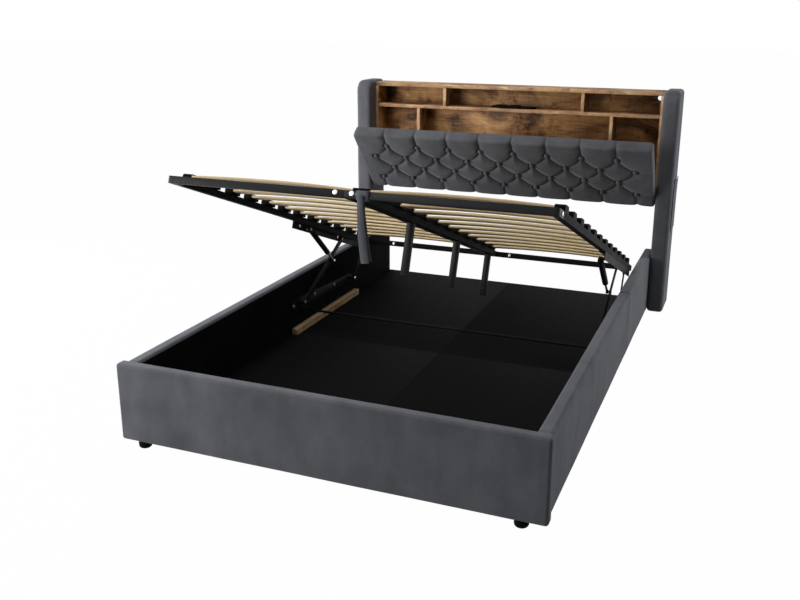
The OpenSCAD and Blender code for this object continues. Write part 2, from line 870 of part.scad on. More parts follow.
// Steel angle under each side tube that carries the upper pivots.
module lift_bracket(side) {
  start = strut_s - bracket_lead;
  end = min(link_s + 20, plat_len);
  flange_x = flange(side);
  collar_r = 8;
  arm_at = [arm_s, eye_h];
  strut_at = [strut_s, eye_h];
  color(steel)
    on_platform() on_side(side) {
      block(flange_x - flange_t, flange_x, start, end, -flange_d, 0);
      block(flange_x - tube, flange_x, start, end, -flange_t, 0);
      cross_pin(layer_arm + 0.5, flange_x - flange_t, arm_at, collar_r);
      cross_pin(layer_arm - bar_t - bolt_h, flange_x - flange_t, arm_at, pin_r);
      cross_pin(layer_arm - bar_t - bolt_h, layer_arm - bar_t - rest_gap, arm_at, collar_r);
      cross_pin(layer_strut + 5 + rest_gap, flange_x - flange_t, strut_at, collar_r - 1);
      cross_pin(layer_strut - 5 - bolt_h, flange_x - flange_t, strut_at, pin_r - 1);
      cross_pin(layer_strut - 5 - bolt_h, layer_strut - 5 - rest_gap, strut_at, collar_r - 1);
    }
}

module left_lift_bracket() { lift_bracket(-1); }
module right_lift_bracket() { lift_bracket(1); }

// Bright bolt heads on the platform: two beside the joint of the front tube,
// one at each front corner, two on the rear tube and two on each lift bracket.
module frame_bolts() {
  head_r = 7;
  mid = tube / 2;
  color(zinc)
    on_platform() {
      for (x = [plat_x - 40, plat_x + 18])
        translate([x, 0, mid + 3]) rotate([90, 0, 0]) cylinder(h = bolt_h, r = head_r + 1);
      for (x = [plat_x - 0.38 * plat_w, spine_x + 0.063 * plat_w])
        translate([x, plat_len - tube, mid]) rotate([90, 0, 0]) cylinder(h = bolt_h, r = head_r);
      for (side = [-1, 1]) on_side(side) {
        cross_pin(flange(side), flange(side) + bolt_h, [44, mid], head_r);
        for (s = [strut_s - 62, arm_s - 35])
          cross_pin(flange(side) - flange_t - bolt_h, flange(side) - flange_t, [s, -12.5], head_r + 1.5);
      }
    }
}

// Flat pull strap hitched round the front tube, its doubled tail hanging down
// with a slight sway and turn.
module pull_strap() {
  cloth = 2.5;
  strap_x = 61;
  wrap_w = 40;
  slack = 0.4;
  tail = 208;
  steps = 14;
  color(fabric) {
    on_platform() difference() {
      block(strap_x - wrap_w / 2, strap_x + wrap_w / 2,
        -cloth - slack, tube + cloth + slack, -cloth - slack, tube + cloth + slack);
      block(strap_x - wrap_w / 2 - 1, strap_x + wrap_w / 2 + 1,
        -slack, tube + slack, -slack, tube + slack);
    }
    on_platform() translate([strap_x, 0, tube * 0.6]) linear_extrude(8, center = true) difference() {
      circle(wrap_w / 2 - 6);
      translate([-wrap_w / 2, -cloth - slack - 0.5]) square(wrap_w);
      translate([-wrap_w / 2, -wrap_w - cloth - slack - 6]) square(wrap_w);
    }
    in_bed() strap_tail(strap_x - 4, [front_y - 3.5, front_z + 6], tail, cloth, steps);
  }
}

// A hanging tail: at each level a flat section, a little wider and further
// out towards its end.
module strap_tail(x, at, drop, cloth, steps) {
  drift = 15;
  sway = 3;
  function level(i) =
    let (
      t = i / steps,
      half = 13 + 4 * t,
      cx = x + drift * t * t,
      cy = at[0] - sway * sin(180 * t),
      th = cloth + 0.4 * sin(360 * t),
      turn = 6 * sin(150 * t)
    )
    [for (c = [[-half, -th], [half, -th], [half, th], [-half, th]])
      [cx + c[0], cy + c[1] + c[0] * sin(turn), at[1] - drop * t]];
  pts = [for (i = [0:steps]) each level(i)];
  sides = [
    for (i = [0:steps - 1], c = [0:3])
      let (p = 4 * i + c, q = 4 * i + (c + 1) % 4)
      each [[p, q, q + 4], [p, q + 4, p + 4]]
  ];
  polyhedron(
    points = pts,
    faces = concat(sides, [[3, 2, 1, 0]], [[for (c = [0:3]) 4 * steps + c]]),
    convexity = 3
  );
}

// A flat bar between two points, with round ends and a bore at each given point.
module flat_link(a, b, hw) {
  hull() {
    translate(a) circle(hw);
    translate(b) circle(hw);
  }
}

// Long front arm, bored for its two pivot pins, with a small ear under the strut's stud.
module front_arm(side) {
  color(steel)
    in_bed() on_side(side) cross_plate(layer_arm - bar_t, layer_arm) difference() {
      union() {
        flat_link(arm_foot, arm_head, arm_hw);
        translate(stud) circle(arm_hw - 2);
      }
      translate(arm_foot) circle(pin_r + fit);
      translate(arm_head) circle(pin_r + fit);
    }
}

module left_front_arm() { front_arm(-1); }
module right_front_arm() { front_arm(1); }

// Short rear link. Its upper end carries its own stud, which stands just clear
// of the lift bracket.
module rear_link(side) {
  stud_r = 7;
  color(steel)
    in_bed() on_side(side) {
      cross_plate(layer_arm - bar_t, layer_arm) difference() {
        flat_link(link_foot, link_head, arm_hw - 2);
        translate(link_foot) circle(pin_r + fit);
      }
      cross_pin(layer_arm - bar_t - bolt_h, flange(side) - flange_t - rest_gap, link_head, stud_r);
    }
}

module left_rear_link() { rear_link(-1); }
module right_rear_link() { rear_link(1); }

// Local +X runs from the strut's upper eye towards its stud.
module on_strut(side) {
  in_bed() translate([side * layer_strut, strut_top[0], strut_top[1]])
    rotate([strut_ang, 0, 0]) rotate([0, 0, 90]) children();
}

// Gas strut cylinder: eye, body and open end for the rod.
module strut_cylinder(side) {
  bore_start = eye_r + 8;
  color(steel)
    on_strut(side) difference() {
      union() {
        rotate([90, 0, 0]) cylinder(h = 10, r = eye_r, center = true);
        rotate([0, 90, 0]) cylinder(h = 24, r = 5);
        translate([18, 0, 0]) rotate([0, 90, 0]) cylinder(h = cyl_len - 18, r = cyl_r);
      }
      rotate([90, 0, 0]) cylinder(h = 12, r = pin_r - 1 + fit, center = true);
      translate([bore_start + 8, 0, 0]) rotate([0, 90, 0]) cylinder(h = cyl_len, r = rod_r + fit);
    }
}

module left_strut_cylinder() { strut_cylinder(-1); }
module right_strut_cylinder() { strut_cylinder(1); }

// Strut rod: it ends in a round head whose stud stands just clear of the front arm.
module strut_rod(side) {
  inside = 130;
  reach = layer_arm - bar_t - rest_gap - layer_strut;
  color(zinc)
    on_strut(side) {
      translate([strut_len - inside, 0, 0]) rotate([0, 90, 0]) cylinder(h = inside, r = rod_r);
      translate([strut_len, 0, 0]) rotate([90, 0, 0]) cylinder(h = 10, r = eye_r, center = true);
      translate([strut_len, 0, 0]) rotate([side * 90, 0, 0]) cylinder(h = reach, r = pin_r);
    }
}

module left_strut_rod() { strut_rod(-1); }
module right_strut_rod() { strut_rod(1); }

footboard();
front_glides();
rear_glides();
left_rail_front();
left_rail_rear();
right_rail_front();
right_rail_rear();
left_cleat();
right_cleat();
cleat_bolts();
floor_board_front_left();
floor_board_front_right();
floor_board_rear_left();
floor_board_rear_right();
left_wing();
right_wing();
left_pocket();
right_pocket();
top_board();
middle_shelf();
bottom_board();
left_side_board();
right_side_board();
back_panel();
upper_dividers();
lower_dividers();
socket_strip();
left_base_plate();
right_base_plate();
tie_bar();
base_bolts();
hinge_fixed_leaves();
flap_panel();
flap_cushion();
cushion_buttons();
hinge_moving_leaves();
front_bar_left();
front_bar_right();
left_side_bar();
right_side_bar();
rear_bar();
spine();
centre_legs();
left_slats();
right_slats();
left_slat_holders();
centre_slat_holders();
right_slat_holders();
left_lift_bracket();
right_lift_bracket();
frame_bolts();
pull_strap();
left_front_arm();
right_front_arm();
left_rear_link();
right_rear_link();
left_strut_cylinder();
right_strut_cylinder();
left_strut_rod();
right_strut_rod();
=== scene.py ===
"""Upholstered storage bed: finishes for the CAD frame, and its padded and cloth pieces."""
import math

import bmesh
import bpy
import numpy as np
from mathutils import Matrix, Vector, noise


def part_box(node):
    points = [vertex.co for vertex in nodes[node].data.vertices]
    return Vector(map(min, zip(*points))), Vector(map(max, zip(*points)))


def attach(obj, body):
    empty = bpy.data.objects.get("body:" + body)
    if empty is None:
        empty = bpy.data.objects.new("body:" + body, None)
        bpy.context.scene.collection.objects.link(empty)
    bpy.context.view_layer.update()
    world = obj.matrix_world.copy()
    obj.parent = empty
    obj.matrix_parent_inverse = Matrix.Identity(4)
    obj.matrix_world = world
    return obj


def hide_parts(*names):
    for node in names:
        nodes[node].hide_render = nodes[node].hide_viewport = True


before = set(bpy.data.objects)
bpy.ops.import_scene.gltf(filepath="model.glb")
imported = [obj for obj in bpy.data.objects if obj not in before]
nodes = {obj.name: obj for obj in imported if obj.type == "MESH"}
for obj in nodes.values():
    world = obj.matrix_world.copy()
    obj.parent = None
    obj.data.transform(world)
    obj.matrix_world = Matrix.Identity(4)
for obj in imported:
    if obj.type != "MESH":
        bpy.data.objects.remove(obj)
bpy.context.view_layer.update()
scene = bpy.context.scene
scene.view_settings.view_transform = "Standard"

# Measures are in metres. Those that the CAD model has too carry its names, and count y
# from the footboard's front face; the frame's own origin is half a bed length behind it.
HALF_LEN = 1.173

# Padded panels: edge radii, and how far a rail's black lining reaches.
PADDED_EDGE, RAIL_END_EDGE, WING_EDGE, WING_CROWN = 0.012, 0.004, 0.020, 0.055
LINING_DEPTH, LINING_TOP = 0.006, 0.010

# Folding cushion: its hinge, its face and the buttons' pattern.
HINGE_Y, HINGE_Z, FLAP_TILT = 2.220, 0.580, math.radians(41)
FLAP_W, FLAP_LOW, FLAP_TOP = 1.495, -0.011, 0.403
FLAP_MID, FLAP_HALF = (FLAP_LOW + FLAP_TOP) / 2, (FLAP_TOP - FLAP_LOW) / 2
PAD_BACK, PAD_T, WRAP_T = 0.008, 0.046, 0.0125
TUFT_COLS, TUFT_ROWS = 9, 4
TUFT_X, TUFT_Z, TUFT_LOW = FLAP_W / TUFT_COLS, 0.0823, 0.0735

# Its padding: edge radii, creases and the pits under the buttons.
RIM, END_RIM, CORNER = 0.014, 0.011, 0.018
BOW, BOW_STEPS, SEAM_PAST = 0.0130, 4, 0.01
STEEP_REACH, WIDE_REACH, CREASE_BLUR = 0.034, 0.085, 0.0012
# Each crease has a depth close to its line and a depth of the wide dip around it.
DIAMOND, TOP_SEAM = (0.0085, 0.0100), (0.0100, 0.0060)
LOW_SEAM, END_PLEAT = (0.0065, 0.004), (0.0025, 0.004)
PLEAT_REACH, PLEAT_START, GATHER_REACH, GATHER_DEPTH = 0.032, 0.010, 0.012, 0.0006
SWELL, GRID_X, GRID_U = 0.0012, 520, 144
# A seam's notch in the outline: its depth, its width, and how far up the face it is felt.
TOP_NOTCH, LOW_NOTCH = (0.0045, 0.007, 0.05), (0.0008, 0.009, 0.04)
SEAT, PIT_R, PIT_WALL = 0.0270, 0.0125, 0.0130
COVER_R, COVER_UP, COVER_H, COVER_SKIRT = 0.0122, 0.0108, 0.0088, 0.0112

# Raised platform and its mechanism.
FRONT_Y, FRONT_Z, LIFT_TILT, TUBE = 0.250, 0.898, math.radians(20.2), 0.025
ARM_FOOT, LINK_FOOT = (1.212, 0.173), (1.754, 0.139)
ARM_S, STRUT_S, EYE_H = 1.456, 1.074, -0.018
COLLAR_R, FOOT_COLLAR_R, STUD_R, STUD_IN = 0.0086, 0.0092, 0.0085, 0.009
COLLAR_X = 0.6668
STRAP_X, STRAP_T, TAIL_LEN = 0.061, 0.0022, 0.225


def in_bed(p):
    """A place counted from the footboard's front face, in the frame's own axes."""
    return Vector((p[0], p[1] - HALF_LEN, p[2]))


def on_platform(p):
    """A place on the raised platform: along it from its front edge, and up from its underside."""
    c, s = math.cos(LIFT_TILT), math.sin(LIFT_TILT)
    return in_bed((p[0], FRONT_Y + p[1] * c + p[2] * s, FRONT_Z - p[1] * s + p[2] * c))


def on_flap(p):
    """A place on the folded cushion: back from its hinge line, and up its face."""
    c, s = math.cos(FLAP_TILT), math.sin(FLAP_TILT)
    return in_bed((p[0], HINGE_Y + p[1] * c - p[2] * s, HINGE_Z + p[1] * s + p[2] * c))


# Camera

cam_data = bpy.data.cameras.new("camera")
cam_data.lens = 41.30
cam_data.shift_x, cam_data.shift_y = -0.0015, -0.0353
camera = bpy.data.objects.new("camera", cam_data)
camera.location = (1.2436, -3.5201, 1.4904)
camera.rotation_euler = (math.radians(73.741), math.radians(-0.117), math.radians(22.0015))
scene.collection.objects.link(camera)
scene.camera = camera


# Materials

class Nodes:
    """Short way to write a node tree."""

    def __init__(self, tree):
        self.tree = tree

    def new(self, kind, props=None, **inputs):
        """A node with its inputs set by name, or by number as i0, i1 and so on."""
        node = self.tree.nodes.new("ShaderNode" + kind)
        for key, value in (props or {}).items():
            setattr(node, key, value)
        for key, value in inputs.items():
            number = key[1:].isdigit()
            self.put(node.inputs[int(key[1:]) if number else key.replace("_", " ")], value)
        return node

    def put(self, socket, value):
        if isinstance(value, bpy.types.NodeSocket):
            self.tree.links.new(value, socket)
        else:
            socket.default_value = value

    def place(self, scale=(1, 1, 1), turn=(0, 0, 0)):
        coords = self.new("TexCoord").outputs["Object"]
        return self.new("Mapping", Vector=coords, Scale=scale, Rotation=turn).outputs[0]

    def noise(self, at, scale, detail, rough, distort=0.0):
        node = self.new("TexNoise", Vector=at, Scale=scale,
                        Detail=detail, Roughness=rough, Distortion=distort)
        return node.outputs["Fac"]

    def threads(self, turn, scale, axis):
        """Slightly uneven parallel threads."""
        node = self.new("TexWave", {"bands_direction": axis}, Vector=self.place(turn=turn),
                        Scale=scale, Distortion=1.2, Detail=1.0, Detail_Scale=3.0)
        return node.outputs["Fac"]

    def ramp(self, fac, stops):
        node = self.new("ValToRGB", Fac=fac)
        ramp = node.color_ramp
        while len(ramp.elements) < len(stops):
            ramp.elements.new(0.5)
        for item, (place, colour) in zip(ramp.elements, stops):
            item.position = place
            item.color = (*colour, 1)
        return node.outputs["Color"]

    def even_ramp(self, fac, low, high, colours):
        """A ramp whose colours stand at even steps between two values."""
        step = (high - low) / (len(colours) - 1)
        return self.ramp(fac, [(low + i * step, c) for i, c in enumerate(colours)])

    def range(self, value, low, high, lo, hi):
        node = self.new("MapRange", Value=value, From_Min=low, From_Max=high, To_Min=lo, To_Max=hi)
        return node.outputs[0]

    def mix(self, fac, a, b, blend="MIX"):
        node = self.new("Mix", {"data_type": "RGBA", "blend_type": blend})
        self.put(node.inputs[0], fac)
        self.put(node.inputs[6], a if isinstance(a, bpy.types.NodeSocket) else (*a, 1))
        self.put(node.inputs[7], b if isinstance(b, bpy.types.NodeSocket) else (*b, 1))
        return node.outputs[2]

    def shaded(self, colour, tone):
        """A colour made lighter and darker by a single value."""
        grey = self.new("CombineColor", Red=tone, Green=tone, Blue=tone).outputs[0]
        return self.mix(1.0, colour, grey, "MULTIPLY")

    def math(self, op, a, b):
        return self.new("Math", {"operation": op}, i0=a, i1=b).outputs[0]

    def share(self, value, part):
        return self.math("MULTIPLY", value, part)

    def bump(self, height, strength, distance, normal=None):
        node = self.new("Bump", Height=height, Strength=strength, Distance=distance)
        if normal is not None:
            self.put(node.inputs["Normal"], normal)
        return node.outputs["Normal"]

    def seen(self):
        """1 for rays that show the surroundings themselves, 0 for rays that only carry light."""
        rays = self.new("LightPath").outputs
        mirrored = self.math("MAXIMUM", rays["Is Glossy Ray"], rays["Is Transmission Ray"])
        return self.math("MAXIMUM", rays["Is Camera Ray"], mirrored)

    def mixed_shader(self, fac, a, b):
        return self.new("MixShader", i0=fac, i1=a.outputs[0], i2=b.outputs[0]).outputs[0]


class Surface(Nodes):
    """The node tree of a new material."""

    def __init__(self, name):
        self.mat = bpy.data.materials.new(name)
        self.mat.use_nodes = True
        super().__init__(self.mat.node_tree)
        self.bsdf = self.tree.nodes["Principled BSDF"]
        self.out = self.tree.nodes["Material Output"]

    def set(self, **inputs):
        for key, value in inputs.items():
            self.put(self.bsdf.inputs[key.replace("_", " ")], value)


def fabric(name, dark, light, sheen=0.3, weave=1500.0, pucker=0.25, gloss=0.25):
    """Short-pile upholstery cloth: a fine weave, and clouds where the pile lies differently."""
    m = Surface(name)
    at = m.place()
    clouds = m.noise(at, 5.5, detail=4.0, rough=0.6, distort=0.6)
    streaks = m.noise(m.place(scale=(14, 14, 3.2)), 1.0, detail=4.0, rough=0.55, distort=0.3)
    pile = m.math("ADD", m.share(clouds, 0.62), m.share(streaks, 0.38))
    warp = m.threads((0.5, 0.6, 0.4), weave, "X")
    weft = m.threads((0.3, 0.2, 0.9), weave, "Z")
    fleck = m.range(m.noise(at, 900.0, detail=2.0, rough=0.6), 0.3, 0.7, lo=0.86, hi=1.12)
    m.set(Base_Color=m.shaded(m.ramp(pile, [(0.34, dark), (0.66, light)]), fleck),
          Roughness=m.range(pile, 0.3, 0.7, lo=0.92, hi=0.78),
          Specular_IOR_Level=gloss, Sheen_Weight=sheen, Sheen_Roughness=0.45)
    m.bsdf.inputs["Sheen Tint"].default_value = (0.62, 0.65, 0.72, 1)
    soft = m.bump(m.noise(at, 16.0, detail=4.0, rough=0.55, distort=0.4), pucker, 0.006)
    grain = m.bump(m.noise(at, 520.0, detail=3.0, rough=0.6), 0.22, 0.0007, soft)
    m.set(Normal=m.bump(m.math("MULTIPLY", warp, weft), 0.25, 0.0005, grain))
    return m.mat


def along_axis(axis, across, along):
    """A texture scale that differs along one axis."""
    scale = [across] * 3
    scale["XYZ".index(axis)] = along
    return scale


def wood(name, along, colours, grain=0.5, rough=(0.5, 0.7), relief=0.25, knots=True):
    """Plain timber with its grain along one axis."""
    m = Surface(name)
    fine, broad = m.place(along_axis(along, 26.0, 1.1)), m.place(along_axis(along, 7.0, 0.7))
    lines = m.noise(fine, 3.0, detail=6.0, rough=0.62, distort=0.35)
    bands = m.noise(broad, 1.6, detail=5.0, rough=0.6, distort=1.1)
    mixed = m.math("ADD", m.share(lines, grain), m.share(bands, 1.0 - grain))
    if knots:
        spots = m.noise(m.place(scale=(5, 5, 5)), 1.7, detail=2.0, rough=0.5, distort=0.8)
        mixed = m.math("ADD", mixed, m.range(spots, 0.66, 0.82, lo=0.0, hi=-0.16))
    m.set(Base_Color=m.even_ramp(mixed, 0.33, 0.67, colours), Specular_IOR_Level=0.35,
          Roughness=m.range(lines, 0.3, 0.7, lo=rough[1], hi=rough[0]),
          Normal=m.bump(lines, relief, 0.0008))
    return m.mat


def rustic(name, along, colours, patch=1.0):
    """Aged timber print: clouded brown and amber patches under fine grain and cross saw marks."""
    m = Surface(name)
    at, broad = m.place(), m.place(along_axis(along, 6.5 * patch, 3.4 * patch))
    clouds = m.noise(broad, 1.0, detail=5.0, rough=0.62, distort=0.9)
    grain = m.noise(m.place(along_axis(along, 60.0, 4.0)), 2.0, detail=4.0, rough=0.6, distort=0.3)
    saws = m.noise(m.place(along_axis(along, 9.0, 130.0)), 1.0, detail=2.0, rough=0.5, distort=0.2)
    blots = m.noise(at, 13.0, detail=4.0, rough=0.6, distort=0.5)
    mixed = m.math("ADD", m.share(clouds, 0.76), m.share(grain, 0.18))
    mixed = m.math("ADD", mixed, m.share(saws, 0.06))
    mixed = m.math("ADD", mixed, m.range(blots, 0.60, 0.78, lo=0.0, hi=-0.15))
    ash = m.range(m.noise(at, 9.0, detail=3.0, rough=0.5, distort=0.3), 0.52, 0.74, lo=0.0, hi=0.45)
    m.set(Base_Color=m.mix(ash, m.even_ramp(mixed, 0.34, 0.64, colours), (0.15, 0.12, 0.10)),
          Roughness=m.range(grain, 0.3, 0.7, lo=0.72, hi=0.55), Specular_IOR_Level=0.25,
          Normal=m.bump(grain, 0.22, 0.0006, m.bump(saws, 0.12, 0.0005)))
    return m.mat


def hard(name, colour, rough, metallic, grain, relief, spread, gloss):
    """Metal, painted metal, plastic or painted board: slightly uneven tone and roughness."""
    m = Surface(name)
    at = m.place()
    worn = m.noise(at, 30.0, detail=5.0, rough=0.6, distort=0.2)
    m.set(Base_Color=m.shaded(colour, m.range(worn, 0.3, 0.7, lo=0.86, hi=1.14)), Metallic=metallic,
          Roughness=m.range(worn, 0.3, 0.7, lo=rough - spread / 2, hi=rough + spread / 2),
          Specular_IOR_Level=gloss,
          Normal=m.bump(m.noise(at, grain, detail=2.0, rough=0.5), relief, 0.0003))
    return m.mat


def bare(name, colour, rough, grain=500.0, relief=0.08, spread=0.08):
    return hard(name, colour, rough, 1.0, grain, relief, spread, 0.5)


def black(name, colour, rough, gloss, grain=900.0, relief=0.18, spread=0.12):
    return hard(name, colour, rough, 0.0, grain, relief, spread, gloss)


upholstery = fabric("upholstery", (0.064, 0.066, 0.074), (0.104, 0.107, 0.120))
cushion_cloth = fabric("cushion_cloth", (0.052, 0.053, 0.059), (0.090, 0.092, 0.101),
                       sheen=0.32, pucker=0.3)
lining = fabric("lining", (0.0022, 0.0022, 0.0026), (0.0045, 0.0045, 0.005),
                sheen=0.0, weave=1200.0, pucker=0.2, gloss=0.03)
webbing = fabric("webbing", (0.086, 0.089, 0.101), (0.134, 0.139, 0.156),
                 weave=700.0, pucker=0.15)
# The strap's rear layer: the same webbing, darker and with less sheen, as painted shade.
webbing_back = fabric("webbing_back", (0.034, 0.035, 0.039), (0.060, 0.062, 0.068),
                      sheen=0.2, weave=700.0, pucker=0.15)

# Board colours from the darkest patches to the palest.
RUST = [(0.040, 0.018, 0.009), (0.142, 0.070, 0.032), (0.345, 0.185, 0.083),
        (0.560, 0.325, 0.135), (0.700, 0.480, 0.260)]
EDGE = [(0.130, 0.066, 0.036), (0.330, 0.185, 0.098), (0.500, 0.305, 0.155), (0.740, 0.510, 0.280)]
BIRCH = [(0.51, 0.370, 0.180), (0.66, 0.500, 0.270), (0.78, 0.63, 0.385)]
PINE = [(0.30, 0.17, 0.08), (0.50, 0.33, 0.17), (0.64, 0.46, 0.27)]
PLY = [(0.30, 0.19, 0.10), (0.45, 0.31, 0.18), (0.55, 0.40, 0.25)]
board_x = rustic("rustic_board_x", "X", RUST)
board_z = rustic("rustic_board_z", "Z", RUST)
edge_x = rustic("board_edge_x", "X", EDGE, patch=2.2)
edge_z = rustic("board_edge_z", "Z", EDGE, patch=2.2)
birch = wood("birch", "X", BIRCH, grain=0.7, rough=(0.42, 0.58), relief=0.18, knots=False)
pine = wood("pine", "Y", PINE, grain=0.6, rough=(0.5, 0.68), relief=0.3)
plywood = wood("plywood", "X", PLY, grain=0.55)

bright_steel = bare("bright_steel", (0.74, 0.74, 0.76), 0.26)
dull_steel = bare("dull_steel", (0.20, 0.20, 0.21), 0.4)
chrome = bare("rod_chrome", (0.16, 0.16, 0.17), 0.2, grain=300.0, relief=0.03, spread=0.05)
bronze = bare("bronze", (0.26, 0.14, 0.065), 0.42, relief=0.1)
black_steel = black("black_steel", (0.0095, 0.0095, 0.0108), 0.48, gloss=0.13)
# The mechanism's parts: the frame's black steel paint, made darker as painted shade.
black_arms = black("black_arms", (0.0042, 0.0042, 0.0048), 0.5, gloss=0.06)
# The platform's side bars, rear bar and spine: the same black steel, made darker and less glossy as
# painted shade.
black_tube = black("black_tube", (0.0075, 0.0075, 0.0085), 0.62, gloss=0.035)
black_floor = black("black_floor", (0.0058, 0.0058, 0.0062), 0.78, gloss=0.030,
                    grain=240.0, relief=0.12, spread=0.1)
black_plastic = black("black_plastic", (0.0030, 0.0030, 0.0034), 0.55, gloss=0.025,
                      grain=1100.0, relief=0.2, spread=0.1)


# Objects

def make_object(name, verts, faces, materials, smooth=True):
    mesh = bpy.data.meshes.new(name)
    mesh.from_pydata([tuple(v) for v in verts], [], [tuple(f) for f in faces])
    mesh.validate()
    for mat in materials if isinstance(materials, (list, tuple)) else [materials]:
        mesh.materials.append(mat)
    mesh.polygons.foreach_set("use_smooth", [smooth] * len(mesh.polygons))
    obj = bpy.data.objects.new(name, mesh)
    scene.collection.objects.link(obj)
    return obj


def face_outwards(obj):
    mesh = bmesh.new()
    mesh.from_mesh(obj.data)
    bmesh.ops.recalc_face_normals(mesh, faces=mesh.faces)
    mesh.to_mesh(obj.data)
    mesh.free()


def smooth_by_angle(obj, degrees):
    obj.data.polygons.foreach_set("use_smooth", [True] * len(obj.data.polygons))
    obj.data.set_sharp_from_angle(angle=math.radians(degrees))


# Floor, background and lights

FLOOR_REACH, FLOOR_GREY, FLOOR_WHITE, AMBIENT = 30, 0.4, 0.990, 0.125


def floor_material():
    """Pale floor that the camera sees almost white, and that still takes a little shade."""
    m = Surface("pale_floor")
    m.set(Base_Color=(FLOOR_GREY, FLOOR_GREY, FLOOR_GREY, 1), Roughness=0.9, Specular_IOR_Level=0.1)
    white = m.new("Emission", Color=(1, 1, 1, 1), Strength=1.0)
    m.put(m.out.inputs["Surface"], m.mixed_shader(m.share(m.seen(), FLOOR_WHITE), m.bsdf, white))
    return m.mat


def studio():
    """White to the camera and in mirrors, dim as a light."""
    world = bpy.data.worlds.new("studio")
    scene.world = world
    world.use_nodes = True
    world.node_tree.nodes.clear()
    m = Nodes(world.node_tree)
    ambient = m.new("Background", Color=(0.96, 0.98, 1.0, 1), Strength=AMBIENT)
    backdrop = m.new("Background", Color=(1, 1, 1, 1), Strength=1.0)
    m.new("OutputWorld", Surface=m.mixed_shader(m.seen(), ambient, backdrop))


def area_light(name, at, towards, size, power):
    data = bpy.data.lights.new(name, "AREA")
    data.shape, data.size, data.energy = "DISK", size, power
    obj = bpy.data.objects.new(name, data)
    obj.location = at
    obj.rotation_euler = (Vector(towards) - Vector(at)).to_track_quat("-Z", "Y").to_euler()
    scene.collection.objects.link(obj)


corners = [(-FLOOR_REACH, -FLOOR_REACH, 0), (FLOOR_REACH, -FLOOR_REACH, 0),
           (FLOOR_REACH, FLOOR_REACH, 0), (-FLOOR_REACH, FLOOR_REACH, 0)]
ground = make_object("ground", corners, [(0, 1, 2, 3)], floor_material(), False)
studio()
area_light("key", at=(-2.6, -3.0, 1.3), towards=(-0.3, -0.6, 0.5), size=2.2, power=101)
area_light("side", at=(2.9, 1.7, 0.8), towards=(0.75, 0.2, 0.25), size=1.2, power=34)
area_light("left", at=(-3.4, -0.35, 0.7), towards=(-0.2, 0.9, 0.8), size=1.3, power=84)
area_light("top", at=(-1.0, -0.4, 4.2), towards=(0, 0.3, 0.6), size=2.2, power=82)


# Padded panels

def spaced(lo, hi, r, step, seg=5):
    """Places across an edge-rounded width: close together in the two round edges."""
    turns = [math.tan(math.radians(45) * i / seg) for i in range(seg)]
    n = max(2, int(round((hi - lo - 2 * r) / step)))
    first = [lo + r * (1 - t) for t in reversed(turns[1:])]
    inner = [lo + r + (hi - lo - 2 * r) * i / n for i in range(n + 1)]
    last = [hi - r * (1 - t) for t in turns[1:]]
    return [lo] + first + inner + last + [hi]


def soft_box(name, lo, hi, radii, step, material, warp):
    """Closed block with round edges, one radius and one grid step for each axis.

    Its faces are gridded so that warp can move each place, knowing the way it faces.
    """
    axes = [spaced(lo[i], hi[i], radii[i], step[i]) for i in range(3)]
    index, verts, faces = {}, [], []

    def vertex(i, j, k):
        key = (i, j, k)
        if key not in index:
            index[key] = len(verts)
            p = np.array([axes[0][i], axes[1][j], axes[2][k]])
            r = np.array(radii)
            q = np.clip(p, np.array(lo) + r, np.array(hi) - r)
            d = (p - q) / r
            d = d / max(1e-9, float(np.linalg.norm(d)))
            verts.append(warp(Vector(q + d * r), Vector(d)))
        return index[key]

    n = [len(a) - 1 for a in axes]
    for a, b, c in ((0, 1, 2), (1, 2, 0), (2, 0, 1)):
        for end in (0, n[c]):
            for i in range(n[a]):
                for j in range(n[b]):
                    quad = []
                    for di, dj in ((0, 0), (1, 0), (1, 1), (0, 1)):
                        at = [0, 0, 0]
                        at[a], at[b], at[c] = i + di, j + dj, end
                        quad.append(vertex(*at))
                    faces.append(quad if end else quad[::-1])
    return make_object(name, verts, faces, material)


def ripple(p, scale, depth, seed):
    """Slow inward dips of a padded face, so that it is never quite flat."""
    at = Vector((p[0] * scale + seed, p[1] * scale, p[2] * scale))
    return -depth * (0.5 + 0.5 * noise.noise(at))


def footboard():
    """The padded panel at the foot; its dips are deepest on the outer face."""
    lo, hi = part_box("footboard")

    def warp(p, d):
        outer = max(0.0, -d.y)
        return p + d * (ripple(p, scale=5.0, depth=0.0022, seed=3.1) * (0.4 + 0.6 * outer))

    obj = soft_box("footboard_padding", lo, hi, [PADDED_EDGE] * 3, (0.03, 0.015, 0.02),
                   material=upholstery, warp=warp)
    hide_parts("footboard")
    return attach(obj, "bed_base")


def rail(node):
    """A padded side rail; its inner face, up to just below the top, is black lining."""
    lo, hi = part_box(node)

    def warp(p, d):
        return p + Vector((d.x, 0, d.z)) * ripple(p, scale=4.0, depth=0.0016, seed=7.7)

    obj = soft_box(node + "_padding", lo, hi, (PADDED_EDGE, RAIL_END_EDGE, PADDED_EDGE),
                   (0.012, 0.03, 0.02), material=[upholstery, lining], warp=warp)
    inner = lo.x if lo.x > 0 else hi.x
    for poly in obj.data.polygons:
        if abs(poly.center.x - inner) < LINING_DEPTH and poly.center.z < hi.z - LINING_TOP:
            poly.material_index = 1
    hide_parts(node)
    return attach(obj, "bed_base")


